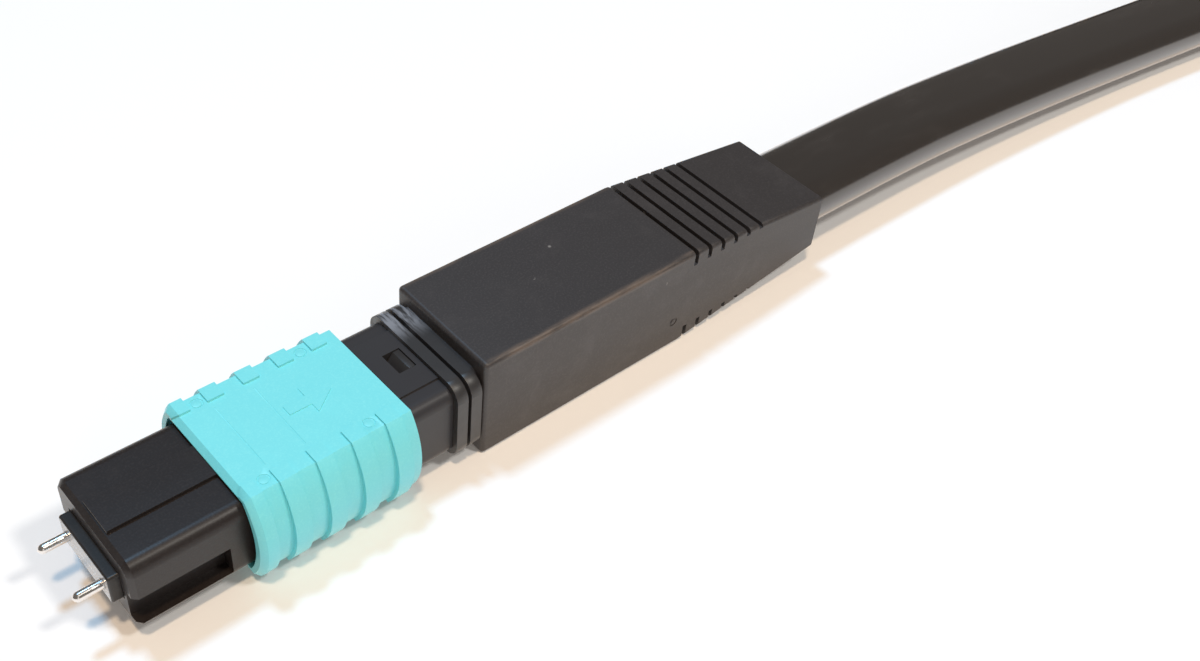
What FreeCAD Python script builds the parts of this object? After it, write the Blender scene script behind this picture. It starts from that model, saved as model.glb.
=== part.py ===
# Multi-fibre push-on connector on a flat drop cable, modelled in millimetres.
# The connector lies along X with its ferrule towards -X; Z is up and the boot rests on Z = 0.
# Every section is drawn about the connector's axis, with x counted from the ferrule's front face.
import FreeCAD, Part
import math
import os
import Sketcher

doc = FreeCAD.newDocument("FibreConnector")
sheet = doc.addObject("Spreadsheet::Sheet", "Sizes")

SIZES = [
    ("face_x", -31.1, "ferrule face, from the origin under the middle of the connector"),
    ("axis_height", 4.62, "connector axis above the surface the boot rests on"),
    ("fit_gap", 0.1, "gap between pieces that slide in each other"),
    ("seat_gap", 0.02, "gap between pieces that are pressed or snapped together"),
    ("ferrule_width", 6.4, "rectangular ferrule, across"),
    ("ferrule_thick", 2.45, "rectangular ferrule, height"),
    ("ferrule_length", 8.0, "front face to rear face"),
    ("shoulder_width", 7.0, "ferrule shoulder, across"),
    ("shoulder_thick", 2.95, "ferrule shoulder, height"),
    ("shoulder_x", 6.1, "front of the ferrule shoulder"),
    ("window_x", 2.3, "front of the ferrule's glue window"),
    ("ferrule_window_length", 2.0, "glue window along X"),
    ("pin_radius", 0.35, "guide pin"),
    ("pin_pitch", 4.6, "between the guide pins"),
    ("pin_reach", 1.95, "guide pin in front of the ferrule face"),
    ("pin_length", 11.25, "guide pin, end to end"),
    ("neck_radius", 0.25, "waist of the guide pin in its clamp"),
    ("clamp_length", 1.5, "pin clamp, without its spring spigot"),
    ("clamp_height", 2.8, "pin clamp"),
    ("spigot_length", 0.7, "spring spigot behind the pin clamp"),
    ("spigot_width", 4.6, "spring spigot"),
    ("spigot_height", 2.1, "spring spigot"),
    ("ribbon_width", 3.1, "twelve-fibre ribbon"),
    ("ribbon_thick", 0.32, "twelve-fibre ribbon"),
    ("ribbon_front", 4.9, "ribbon end inside the ferrule"),
    ("ferrule_boot_length", 7.0, "soft sleeve round the ribbon"),
    ("ferrule_boot_height", 1.6, "soft sleeve round the ribbon"),
    ("ribbon_flat_end", 30.0, "where the ribbon starts to gather into a bundle"),
    ("bundle_x", 34.5, "where the fibres are one round bundle"),
    ("bundle_end", 43.0, "rear end of the bundle in the buffer tube"),
    ("bundle_size", 1.1, "fibre bundle, across"),
    ("sleeve_front", 8.75, "front of the coupling sleeve"),
    ("sleeve_length", 12.75, "coupling sleeve"),
    ("sleeve_flat", 9.7, "flat top of the sleeve, across"),
    ("sleeve_height", 7.8, "sleeve over its flats"),
    ("sleeve_bulge_radius", 6.6, "curve of the sleeve's sides"),
    ("sleeve_wall", 0.5, "sleeve wall at the flats"),
    ("rib_rise", 0.28, "grip rib above the sleeve"),
    ("rib_width", 1.25, "grip rib along X"),
    ("rib_pitch", 2.7, "between grip ribs"),
    ("rib_first", 11.25, "front of the first grip rib"),
    ("rib_count", 4, "grip ribs behind the front rim"),
    ("rib_reach", 3.75, "inner end of a rib on the flats, from the middle"),
    ("mark_radius", 0.45, "round mark left by an ejector pin on the sleeve"),
    ("mark_line", 0.1, "width of a mark's line"),
    ("mark_depth", 0.05, "depth of a mark's line"),
    ("mark_front", 10.62, "front pair of ejector marks"),
    ("mark_rear", 18.62, "rear pair of ejector marks"),
    ("mark_spacing", 8.2, "between the marks of a pair"),
    ("parting_first", 11.3, "first faint line across the sleeve's top"),
    ("parting_second", 14.3, "second faint line across the sleeve's top"),
    ("parting_reach", 3.1, "end of the faint lines, from the middle"),
    ("arrow_tail", 14.9, "tail of the raised arrow"),
    ("arrow_neck", 16.6, "where the arrow's head starts"),
    ("arrow_tip", 18.4, "tip of the raised arrow"),
    ("arrow_width", 2.6, "arrow head, across"),
    ("arrow_stem", 0.9, "arrow stem, across"),
    ("arrow_rise", 0.07, "raised arrow above the sleeve"),
    ("housing_front", 0.78, "front face of the inner housing"),
    ("housing_width", 9.5, "inner housing"),
    ("housing_top", 3.05, "inner housing above the axis"),
    ("housing_bottom", 3.2, "inner housing below the axis"),
    ("housing_corner", 1.0, "rounding of the housing's long edges"),
    ("housing_rear", 25.2, "rear end of the inner housing"),
    ("key_width", 3.0, "polarity key on top of the nose"),
    ("key_top", 3.35, "polarity key above the axis"),
    ("land_width", 5.9, "raised land behind the sleeve"),
    ("land_front", 21.9, "front of the raised land"),
    ("land_top", 3.22, "raised land above the axis"),
    ("latch_depth", 1.1, "side recess for the adapter's hooks"),
    ("latch_top", 0.0, "upper edge of the side recess"),
    ("latch_bottom", -2.55, "lower edge of the side recess"),
    ("latch_rear", 7.45, "rear wall of the side recess"),
    ("window_front", 23.3, "snap window in the housing"),
    ("window_length", 1.45, "snap window along X"),
    ("window_width", 2.1, "snap window across"),
    ("snap_gap", 0.06, "gap round a snap tooth in its window"),
    ("cavity_width", 6.6, "housing bore round the main spring"),
    ("cavity_height", 3.9, "housing bore round the main spring"),
    ("cavity_rear", 17.0, "where the bore opens for the rear body"),
    ("spring_slot_front", 10.5, "front wall of the side channel for a coupling spring"),
    ("spring_slot_rear", 16.9, "rear wall of the side channel"),
    ("spring_slot_half", 0.85, "half the height of the side channel"),
    ("spring_slot_floor", 3.8, "floor of the side channel, from the middle"),
    ("tab_length", 0.8, "sleeve tab that pushes a coupling spring"),
    ("tab_root", 5.9, "outer end of the tab, inside the sleeve's wall"),
    ("rail_root", 5.7, "outer side of a guide rail, inside the sleeve's wall"),
    ("rail_level", 1.5, "guide rail above and below the axis"),
    ("rail_height", 0.6, "guide rail"),
    ("rail_length", 9.0, "guide rail along X"),
    ("coupling_coil_radius", 0.58, "coupling spring, to the middle of the wire"),
    ("coupling_wire_radius", 0.12, "coupling spring wire"),
    ("coupling_turns", 8, "coupling spring"),
    ("main_wire_radius", 0.24, "main spring wire"),
    ("main_coil_width", 5.7, "main spring, across the middle of the wire"),
    ("main_coil_height", 3.0, "main spring, height to the middle of the wire"),
    ("main_turns", 6, "main spring"),
    ("push_front", 17.4, "front face of the rear body, which the main spring pushes on"),
    ("push_width", 7.1, "rear body inside the housing"),
    ("push_height", 4.5, "rear body inside the housing"),
    ("push_bore_width", 3.9, "ribbon bore"),
    ("push_bore_height", 1.5, "ribbon bore"),
    ("flange_width", 10.5, "double flange of the rear body"),
    ("flange_height", 7.1, "double flange of the rear body"),
    ("flange_length", 2.15, "both flanges and the groove between"),
    ("flange_groove", 0.28, "groove between the flanges"),
    ("plug_length", 2.0, "plug that holds the boot's front end"),
    ("barrel_width", 6.4, "crimp barrel"),
    ("barrel_height", 4.4, "crimp barrel"),
    ("barrel_end", 36.0, "rear end of the crimp barrel"),
    ("crimp_wall", 0.45, "crimp ring"),
    ("crimp_front", 30.3, "front of the crimp ring"),
    ("crimp_length", 5.2, "crimp ring"),
    ("boot_front", 27.6, "front face of the boot"),
    ("boot_width", 10.36, "boot"),
    ("boot_bend", 48.0, "where the boot starts to thin"),
    ("boot_end", 64.1, "rear face of the boot"),
    ("boot_end_width", 10.1, "rear face of the boot"),
    ("boot_end_height", 5.36, "rear face of the boot"),
    ("boot_edge", 0.35, "rounding of the boot's long edges"),
    ("boot_pocket_width", 8.6, "front pocket of the boot"),
    ("boot_pocket_height", 7.0, "front pocket of the boot"),
    ("groove_first", 48.35, "first bend groove"),
    ("groove_pitch", 1.52, "between the bend grooves"),
    ("groove_width", 0.42, "bend groove"),
    ("groove_floor", 3.25, "level of the groove floors from the axis"),
    ("groove_count", 6, "bend grooves on each face"),
    ("gate_x", 47.0, "round gate mark in the boot's side"),
    ("gate_level", -2.0, "round gate mark, from the axis"),
    ("gate_radius", 0.42, "round gate mark"),
    ("gate_depth", 0.06, "round gate mark"),
    ("anchor_front", 37.0, "front of the cable anchor"),
    ("anchor_length", 10.0, "cable anchor"),
    ("anchor_width", 7.8, "cable anchor"),
    ("anchor_height", 6.0, "both halves of the cable anchor together"),
    ("band_wall", 0.35, "crimp band round the anchor"),
    ("band_length", 6.0, "crimp band round the anchor"),
    ("rod_radius", 0.78, "strength rod"),
    ("rod_spacing", 4.7, "between the strength rods"),
    ("rod_reach", 8.2, "strength rod inside the anchor"),
    ("tube_radius", 1.3, "buffer tube"),
    ("tube_bore_radius", 0.95, "buffer tube"),
    ("tube_reach", 9.0, "buffer tube in front of the jacket's end"),
    ("cable_width", 8.1, "flat cable"),
    ("cable_thick", 4.4, "flat cable"),
    ("cable_round", 2.0, "rounding of the flat cable's edges"),
    ("coil_radius", 45.5, "outermost turn of the coil, to the cable's middle"),
    ("coil_pitch", 4.5, "between turns of the coil"),
    ("coil_turns", 3.5, "turns in the coil"),
    ("tie_wall", 0.8, "strap round the coil"),
    ("tie_width", 6.0, "strap round the coil"),
    ("cap_length", 14.0, "sealing cap on the cable's far end"),
    ("cap_wall", 0.6, "sealing cap"),
    ("cap_round", 1.8, "rounding of the sealing cap's edges"),
]
for rowNumber, (alias, number, note) in enumerate(SIZES, start=1):
    sheet.set(f"A{rowNumber}", note)
    sheet.set(f"B{rowNumber}", str(number))
    sheet.setAlias(f"B{rowNumber}", alias)
doc.recompute()
ALIASES = {alias for alias, number, note in SIZES}


def size(expression):
    """Value of a sheet cell, or of an expression in the sheet's names."""
    value = sheet.evalExpression(bound(expression))
    return float(getattr(value, "Value", value))


def bound(expression):
    """The expression with each sheet name written as a reference to the sheet."""
    words = []
    word = ""
    for character in str(expression) + " ":
        if character.isalnum() or character == "_":
            word += character
            continue
        if word:
            words.append(f"Sizes.{word}" if word in ALIASES else word)
            word = ""
        words.append(character)
    return "".join(words).strip()


def newBody(label, x="face_x", y="0", z="axis_height"):
    """A sub-part whose own frame has its origin on the connector's axis, at the ferrule face."""
    body = doc.addObject("PartDesign::Body", label)
    body.Label = label
    for axis, expression in (("x", x), ("y", y), ("z", z)):
        body.setExpression(f"Placement.Base.{axis}", bound(expression))
    return body


def newSketch(body, offset, role="YZ_Plane"):
    """An empty sketch on one of the body's origin planes, moved along that plane's normal."""
    sketch = body.newObject("Sketcher::SketchObject", "Sketch")
    plane = [item for item in body.Origin.OriginFeatures if item.Role == role][0]
    sketch.AttachmentSupport = (plane, [""])
    sketch.MapMode = "FlatFace"
    sketch.setExpression("AttachmentOffset.Base.z", bound(offset))
    return sketch


def placePoint(sketch, geometry, end, u, v):
    """Hold a point of the sketch at two distances from the sketch's origin."""
    for kind, expression, axis in (("DistanceX", u, -2), ("DistanceY", v, -1)):
        if abs(size(expression)) < 1e-9:
            sketch.addConstraint(Sketcher.Constraint("PointOnObject", geometry, end, axis))
        else:
            rule = Sketcher.Constraint(kind, -1, 1, geometry, end, size(expression))
            number = sketch.addConstraint(rule)
            sketch.setExpression(f"Constraints[{number}]", bound(expression))


def drawOutline(sketch, corners, bends=None):
    """Closed outline through corners given counter-clockwise; a bend is an outward arc's radius."""
    bends = bends or {}
    points = [FreeCAD.Vector(size(u), size(v), 0) for u, v in corners]
    starts = []
    ends = []
    for index, start in enumerate(points):
        end = points[(index + 1) % len(points)]
        if index not in bends:
            geometry = sketch.addGeometry(Part.LineSegment(start, end))
            starts.append((geometry, 1))
            ends.append((geometry, 2))
            continue
        radius = size(bends[index])
        chord = end - start
        outward = FreeCAD.Vector(chord.y, -chord.x, 0).normalize()
        if radius < 0:
            outward = outward * -1
        rise = abs(radius) - math.sqrt(max(radius ** 2 - chord.Length ** 2 / 4, 0))
        arc = Part.Arc(start, (start + end) * 0.5 + outward * rise, end)
        geometry = sketch.addGeometry(arc)
        firstEnd = 1 if radius > 0 else 2
        starts.append((geometry, firstEnd))
        ends.append((geometry, 3 - firstEnd))
        rule = Sketcher.Constraint("Radius", geometry, abs(radius))
        number = sketch.addConstraint(rule)
        sketch.setExpression(f"Constraints[{number}]", bound(f"abs({bends[index]})"))
    for index, corner in enumerate(corners):
        placePoint(sketch, *starts[index], *corner)
        rule = Sketcher.Constraint("Coincident", *ends[index - 1], *starts[index])
        sketch.addConstraint(rule)


def drawCircles(sketch, centres, radius):
    for u, v in centres:
        centre = FreeCAD.Vector(size(u), size(v), 0)
        circle = Part.Circle(centre, FreeCAD.Vector(0, 0, 1), size(radius))
        geometry = sketch.addGeometry(circle)
        placePoint(sketch, geometry, 3, u, v)
        number = sketch.addConstraint(Sketcher.Constraint("Radius", geometry, size(radius)))
        sketch.setExpression(f"Constraints[{number}]", bound(radius))


def roundedBox(width, height, radius):
    """Corners and bends of a rectangle with rounded corners about the sketch's origin."""
    u = f"({width})/2"
    v = f"({height})/2"
    nearU = f"({u} - ({radius}))"
    nearV = f"({v} - ({radius}))"
    corners = [
        (f"-{nearU}", f"-{v}"),
        (nearU, f"-{v}"),
        (u, f"-{nearV}"),
        (u, nearV),
        (nearU, v),
        (f"-{nearU}", v),
        (f"-{u}", nearV),
        (f"-{u}", f"-{nearV}"),
    ]
    return corners, {1: radius, 3: radius, 5: radius, 7: radius}


def span(lowU, highU, lowV, highV):
    """Corners of a plain rectangle."""
    return [(lowU, lowV), (highU, lowV), (highU, highV), (lowU, highV)]


def sideways(side, near, far):
    """Low and high end of a stretch on the left (1) or right (-1) of the middle."""
    return (near, far) if side > 0 else (f"-({far})", f"-({near})")


def pad(body, sketch, length, backwards=False):
    feature = body.newObject("PartDesign::Pad", "Pad")
    feature.Profile = sketch
    feature.Reversed = backwards
    feature.setExpression("Length", bound(length))
    doc.recompute()
    return feature


def pocket(body, sketch, length, backwards=False):
    """Cut along the sketch's normal, or against it; the volume proves that something was cut."""
    before = body.Shape.Volume
    feature = body.newObject("PartDesign::Pocket", "Pocket")
    feature.Profile = sketch
    feature.Reversed = not backwards
    feature.setExpression("Length", bound(length))
    doc.recompute()
    if not body.Shape.Volume < before - 1e-6:
        raise ValueError(f"{body.Label}: a pocket cuts nothing, {sketch.State}, {feature.State}")
    return feature


def padBox(body, x, length, width, height, radius):
    sketch = newSketch(body, x)
    drawOutline(sketch, *roundedBox(width, height, radius))
    return pad(body, sketch, length)


def cutBox(body, x, length, width, height, radius):
    sketch = newSketch(body, x)
    drawOutline(sketch, *roundedBox(width, height, radius))
    return pocket(body, sketch, length)


def padOutline(body, x, length, corners, bends=None):
    sketch = newSketch(body, x)
    drawOutline(sketch, corners, bends)
    return pad(body, sketch, length)


def cutOutline(body, x, length, corners, bends=None):
    sketch = newSketch(body, x)
    drawOutline(sketch, corners, bends)
    return pocket(body, sketch, length)


def cutCircles(body, x, length, centres, radius):
    sketch = newSketch(body, x)
    drawCircles(sketch, centres, radius)
    return pocket(body, sketch, length)


def repeatAlongX(body, features, pitch, count):
    """Linear pattern of the features along the connector."""
    pattern = body.newObject("PartDesign::LinearPattern", "LinearPattern")
    pattern.Originals = features
    axis = [item for item in body.Origin.OriginFeatures if item.Role == "X_Axis"][0]
    pattern.Direction = (axis, [""])
    pattern.setExpression("Length", bound(f"({pitch}) * (({count}) - 1)"))
    pattern.setExpression("Occurrences", bound(count))
    body.Tip = pattern
    doc.recompute()
    return pattern


def mirror(body, features, role):
    pattern = body.newObject("PartDesign::Mirrored", "Mirrored")
    pattern.Originals = features
    plane = [item for item in body.Origin.OriginFeatures if item.Role == role][0]
    pattern.MirrorPlane = (plane, [""])
    body.Tip = pattern
    doc.recompute()
    return pattern


def edgesOf(feature, test):
    """Names of the edges of a feature whose two end points pass the test."""
    names = []
    for number, edge in enumerate(feature.Shape.Edges, start=1):
        ends = [vertex.Point for vertex in edge.Vertexes]
        if len(ends) == 2 and test(ends[0], ends[1]):
            names.append(f"Edge{number}")
    return names


def chamferFront(body, feature, x, amount):
    """Bevel the outline of the face that lies at x."""
    def onFace(start, end):
        return abs(start.x - size(x)) < 1e-4 and abs(end.x - size(x)) < 1e-4
    bevel = body.newObject("PartDesign::Chamfer", "Chamfer")
    bevel.Base = (feature, edgesOf(feature, onFace))
    bevel.setExpression("Size", bound(amount))
    doc.recompute()
    return bevel


# ---- ferrule group: slides back together against the main spring ----

PIN_CENTRES = [("pin_pitch/2", "0"), ("-pin_pitch/2", "0")]


def makeFerrule():
    body = newBody("ferrule")
    block = padBox(body, "0", "ferrule_length", "ferrule_width", "ferrule_thick", "0.2")
    chamferFront(body, block, "0", "0.12")
    length = "ferrule_length - shoulder_x"
    padBox(body, "shoulder_x", length, "shoulder_width", "shoulder_thick", "0.3")
    cutCircles(body, "0", "ferrule_length", PIN_CENTRES, "pin_radius + seat_gap")
    room = ("ribbon_width + 0.5", "ferrule_boot_height + 0.2")
    cutBox(body, "ribbon_front - 0.4", "ferrule_length", *room, "0.3")
    window = newSketch(body, "0", "XY_Plane")
    edges = ("window_x", "window_x + ferrule_window_length", "-ribbon_width/2", "ribbon_width/2")
    drawOutline(window, span(*edges))
    pocket(body, window, "ferrule_thick")
    return body


def makeGuidePin(label, side):
    body = newBody(label, y=f"{side}*pin_pitch/2")
    profile = newSketch(body, "0", "XY_Plane")
    tip = "(-pin_reach)"
    neck = "ferrule_length + 0.25"
    corners = [
        (tip, "0"),
        (f"{tip} + pin_length", "0"),
        (f"{tip} + pin_length", "pin_radius"),
        (f"{neck} + 1.0", "pin_radius"),
        (f"{neck} + 0.9", "neck_radius"),
        (f"{neck} + 0.1", "neck_radius"),
        (neck, "pin_radius"),
        (f"{tip} + 0.32", "pin_radius"),
        (tip, "0.1"),
    ]
    drawOutline(profile, corners, {7: "0.42"})
    turn = body.newObject("PartDesign::Revolution", "Revolution")
    turn.Profile = profile
    turn.ReferenceAxis = (profile, ["H_Axis"])
    turn.Angle = 360
    doc.recompute()
    return body


def makePinClamp():
    """Plate behind the ferrule, slotted from above for the pins, with a spigot for the spring."""
    body = newBody("pin_clamp")
    padBox(body, "ferrule_length", "clamp_length", "ferrule_width", "clamp_height", "0.3")
    padBox(body, "ferrule_length + clamp_length", "spigot_length", "spigot_width", "spigot_height", "1.0")
    through = "clamp_length + spigot_length"
    cutBox(body, "ferrule_length", through, "ribbon_width + 0.45", "ferrule_boot_height + 0.15", "0.3")
    slotHalf = "(pin_radius + seat_gap)"
    cutCircles(body, "ferrule_length", "clamp_length", PIN_CENTRES, slotHalf)
    for middle in ("pin_pitch/2", "-pin_pitch/2"):
        slot = span(f"{middle} - {slotHalf}", f"{middle} + {slotHalf}", "0", "2")
        cutOutline(body, "ferrule_length", "clamp_length", slot)
    return body


def makeFerruleBoot():
    """Soft sleeve that keeps the ribbon straight where it enters the ferrule."""
    body = newBody("ferrule_boot")
    length = "ferrule_boot_length"
    padBox(body, "ribbon_front", length, "ribbon_width + 0.35", "ferrule_boot_height", "0.3")
    cutBox(body, "ribbon_front", length, "ribbon_width + 0.06", "ribbon_thick + 0.06", "0.15")
    return body


def makeRibbon():
    """Flat ribbon whose fibres gather into one bundle for the buffer tube."""
    body = newBody("fibre_ribbon")
    length = "ribbon_flat_end - ribbon_front"
    padBox(body, "ribbon_front", length, "ribbon_width", "ribbon_thick", "0.12")
    gather = body.newObject("PartDesign::AdditiveLoft", "Gather")
    flat = newSketch(body, "ribbon_flat_end")
    drawOutline(flat, *roundedBox("ribbon_width", "ribbon_thick", "0.12"))
    bundle = newSketch(body, "bundle_x")
    drawOutline(bundle, *roundedBox("bundle_size", "bundle_size", "0.3"))
    gather.Profile = flat
    gather.Sections = [bundle]
    gather.Ruled = True
    body.Tip = gather
    doc.recompute()
    padBox(body, "bundle_x", "bundle_end - bundle_x", "bundle_size", "bundle_size", "0.3")
    return body


# ---- springs: wound wire with closed end turns ----

TURN_STEPS = 12
WIRE_SIDES = 6
END_TURNS = 1.0


def makeSpring(label, x, y, length, width, height, wire, turns):
    """Wire wound along X; a turn is a round or a race-track, drawn in short straight lengths."""
    closePitch = 2.2 * wire
    openPitch = (length - 2.3 * wire - 2 * END_TURNS * closePitch) / (turns - 2 * END_TURNS)
    points = []
    for step in range(int(turns * TURN_STEPS) + 1):
        turn = step / TURN_STEPS
        openTurns = min(max(turn - END_TURNS, 0), turns - 2 * END_TURNS)
        along = 1.15 * wire + closePitch * (turn - openTurns) + openPitch * openTurns
        angle = 2 * math.pi * (step + 0.5) / TURN_STEPS
        across = math.copysign((width - height) / 2, math.cos(angle)) + height / 2 * math.cos(angle)
        points.append(FreeCAD.Vector(along, across, height / 2 * math.sin(angle)))
    path = Part.makePolygon(points)
    forward = (points[1] - points[0]).normalize()
    spoke = forward.cross(FreeCAD.Vector(1, 0, 0)).normalize() * wire
    corners = []
    for side in range(WIRE_SIDES + 1):
        turned = FreeCAD.Rotation(forward, 360 * (side % WIRE_SIDES) / WIRE_SIDES)
        corners.append(points[0] + turned.multVec(spoke))
    coil = path.makePipeShell([Part.makePolygon(corners)], True, False, 1)
    feature = doc.addObject("Part::Feature", label)
    feature.Label = label
    feature.Shape = coil
    feature.Placement.Base = FreeCAD.Vector(size("face_x") + x, y, size("axis_height"))
    return feature


def makeMainSpring():
    start = size("ferrule_length + clamp_length")
    length = size("push_front") - start
    section = (size("main_coil_width"), size("main_coil_height"))
    winding = (size("main_wire_radius"), size("main_turns"))
    return makeSpring("main_spring", start, 0, length, *section, *winding)


def makeCouplingSpring(label, side):
    start = size("spring_slot_front + tab_length + 0.06")
    length = size("spring_slot_rear") - start
    across = 2 * size("coupling_coil_radius")
    y = side * size("spring_slot_floor + coupling_coil_radius + coupling_wire_radius + 0.08")
    winding = (size("coupling_wire_radius"), size("coupling_turns"))
    return makeSpring(label, start, y, length, across, across, *winding)


# ---- housing ----

def housingOutline(width, top, bottom, radius):
    """Housing section: a flat top and bottom, full sides, and wide rounded corners."""
    half = f"({width})/2"
    near = f"({half} - ({radius}))"
    corners = [
        (f"-{near}", f"-({bottom})"),
        (near, f"-({bottom})"),
        (half, f"-({bottom}) + ({radius})"),
        (half, f"({top}) - ({radius})"),
        (near, top),
        (f"-{near}", top),
        (f"-{half}", f"({top}) - ({radius})"),
        (f"-{half}", f"-({bottom}) + ({radius})"),
    ]
    return corners, {1: radius, 3: radius, 5: radius, 7: radius}


def makeInnerHousing():
    body = newBody("inner_housing")
    length = "housing_rear - housing_front"
    corners, bends = housingOutline("housing_width", "housing_top", "housing_bottom", "housing_corner")
    shell = padOutline(body, "housing_front", length, corners, bends)
    chamferFront(body, shell, "housing_front", "0.35")
    key = span("-key_width/2", "key_width/2", "0", "key_top")
    padOutline(body, "housing_front + 0.45", "sleeve_front + sleeve_length - housing_front - 1", key)
    land = span("-land_width/2", "land_width/2", "0", "land_top")
    padOutline(body, "land_front", "housing_rear - land_front", land)
    foot = span("-land_width/2", "land_width/2", "-housing_bottom - land_top + housing_top", "0")
    padOutline(body, "land_front", "housing_rear - land_front", foot)
    for side in (1, -1):
        low, high = sideways(side, "housing_width/2 - latch_depth", "housing_width")
        recess = span(low, high, "latch_bottom", "latch_top")
        cutOutline(body, "housing_front - 0.1", "latch_rear - housing_front + 0.1", recess)
        low, high = sideways(side, "spring_slot_floor", "housing_width")
        channel = span(low, high, "-spring_slot_half", "spring_slot_half")
        cutOutline(body, "spring_slot_front", "spring_slot_rear - spring_slot_front", channel)
    mouth = ("ferrule_width + 2*fit_gap", "ferrule_thick + 2*fit_gap")
    cutBox(body, "housing_front - 0.1", "shoulder_x - housing_front + 0.2", *mouth, "0.2")
    shoulder = ("shoulder_width + 2*fit_gap", "cavity_height")
    cutBox(body, "shoulder_x", "ferrule_length + 1.4 - shoulder_x", *shoulder, "0.3")
    spring = ("cavity_width", "cavity_height")
    cutBox(body, "shoulder_x", "cavity_rear - shoulder_x + 0.1", *spring, "0.8")
    push = ("push_width + 2*fit_gap", "push_height + 2*fit_gap")
    cutBox(body, "cavity_rear", "housing_rear - cavity_rear", *push, "0.9")
    window = newSketch(body, "-housing_width/2", "XY_Plane")
    edges = ("window_front", "window_front + window_length", "-window_width/2", "window_width/2")
    drawOutline(window, span(*edges))
    pocket(body, window, "housing_width")
    return body


# ---- coupling sleeve ----

def barrelOutline(flat, height, radius):
    """Flat top and bottom joined by bulging sides."""
    u = f"({flat})/2"
    v = f"({height})/2"
    corners = [(f"-{u}", f"-{v}"), (u, f"-{v}"), (u, v), (f"-{u}", v)]
    return corners, {1: radius, 3: radius}


def ribOutline():
    """Section of a grip rib: raised round both sides and a little way on to the flats."""
    u = "sleeve_flat/2 + rib_rise*0.6"
    v = "sleeve_height/2 + rib_rise*0.6"
    level = "sleeve_height/2 - 0.1"
    corners = [
        ("-rib_reach", f"-({v})"),
        ("-rib_reach", f"-({level})"),
        ("rib_reach", f"-({level})"),
        ("rib_reach", f"-({v})"),
        (u, f"-({v})"),
        (u, v),
        ("rib_reach", v),
        ("rib_reach", level),
        ("-rib_reach", level),
        ("-rib_reach", v),
        (f"-({u})", v),
        (f"-({u})", f"-({v})"),
    ]
    return corners, {4: "sleeve_bulge_radius - 0.25", 10: "sleeve_bulge_radius - 0.25"}


def markSleeve(body):
    """Ejector marks and faint mould lines in the sleeve's top, and a raised arrow along the pull."""
    marks = newSketch(body, "sleeve_height/2 - mark_depth", "XY_Plane")
    centres = []
    for x in ("mark_front", "mark_rear"):
        centres += [(x, "mark_spacing/2"), (x, "-mark_spacing/2")]
    drawCircles(marks, centres, "mark_radius")
    drawCircles(marks, centres, "mark_radius - mark_line")
    pocket(body, marks, "1")
    for x in ("parting_first", "parting_second"):
        line = newSketch(body, "sleeve_height/2 - mark_depth/2", "XY_Plane")
        drawOutline(line, span(x, f"{x} + mark_line", "-parting_reach", "parting_reach"))
        pocket(body, line, "1")
    arrow = newSketch(body, "sleeve_height/2 - mark_depth", "XY_Plane")
    corners = [
        ("arrow_tail", "-arrow_stem/2"),
        ("arrow_neck", "-arrow_stem/2"),
        ("arrow_neck", "-arrow_width/2"),
        ("arrow_tip", "0"),
        ("arrow_neck", "arrow_width/2"),
        ("arrow_neck", "arrow_stem/2"),
        ("arrow_tail", "arrow_stem/2"),
    ]
    drawOutline(arrow, corners)
    pad(body, arrow, "mark_depth + arrow_rise")


def makeCouplingSleeve():
    body = newBody("coupling_sleeve")
    outside = barrelOutline("sleeve_flat", "sleeve_height", "sleeve_bulge_radius")
    padOutline(body, "sleeve_front", "sleeve_length", *outside)
    rib = padOutline(body, "rib_first", "rib_width", *ribOutline())
    repeatAlongX(body, [rib], "rib_pitch", "rib_count")
    rim = padOutline(body, "sleeve_front", "rib_width", *ribOutline())
    chamferFront(body, rim, "sleeve_front", "0.4")
    flat = "sleeve_flat - 1.2*sleeve_wall"
    bore = barrelOutline(flat, "sleeve_height - 2*sleeve_wall", "sleeve_bulge_radius - sleeve_wall")
    cutOutline(body, "sleeve_front - 0.1", "sleeve_length + 0.2", *bore)
    for side in (1, -1):
        low, high = sideways(side, "spring_slot_floor + fit_gap", "tab_root")
        tab = span(low, high, "-spring_slot_half + fit_gap", "spring_slot_half - fit_gap")
        padOutline(body, "spring_slot_front + 0.03", "tab_length", tab)
        low, high = sideways(side, "housing_width/2 + fit_gap", "rail_root")
        for level in ("rail_level", "-rail_level - rail_height"):
            rail = span(low, high, level, f"{level} + rail_height")
            padOutline(body, "spring_slot_front + 0.03", "rail_length", rail)
    markSleeve(body)
    return body


# ---- rear body, crimps and cable anchor ----

def makeRearBody():
    """Spring push that snaps into the housing, its double flange, and the crimp barrel."""
    body = newBody("rear_body")
    padBox(body, "push_front", "housing_rear - push_front", "push_width", "push_height", "0.9")
    ringX = "housing_rear + seat_gap"
    ring = "(flange_length - flange_groove)/2"
    core = ("flange_width - 1.1", "flange_height - 1.1")
    padBox(body, "housing_rear", "flange_length", *core, "0.9")
    first = padBox(body, ringX, ring, "flange_width", "flange_height", "1.4")
    repeatAlongX(body, [first], f"{ring} + flange_groove", "2")
    plugX = "housing_rear + flange_length"
    plugWidth = "boot_pocket_width - 2*seat_gap"
    padBox(body, plugX, "plug_length", plugWidth, "boot_pocket_height - 2*seat_gap", "0.6")
    padBox(body, plugX, "barrel_end - housing_rear - flange_length", "barrel_width", "barrel_height", "2")
    tooth = newSketch(body, "-window_width/2 + snap_gap", "XZ_Plane")
    heel = "window_front + window_length - snap_gap"
    top = "land_top - snap_gap"
    toe = "window_front + snap_gap"
    corners = [(toe, "0"), (heel, "0"), (heel, top), (f"{heel} - 0.5", top), (toe, "push_height/2")]
    drawOutline(tooth, corners)
    wedge = pad(body, tooth, "window_width - 2*snap_gap")
    mirror(body, [wedge], "XY_Plane")
    cutBox(body, "push_front", "barrel_end - push_front", "push_bore_width", "push_bore_height", "0.5")
    return body


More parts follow.
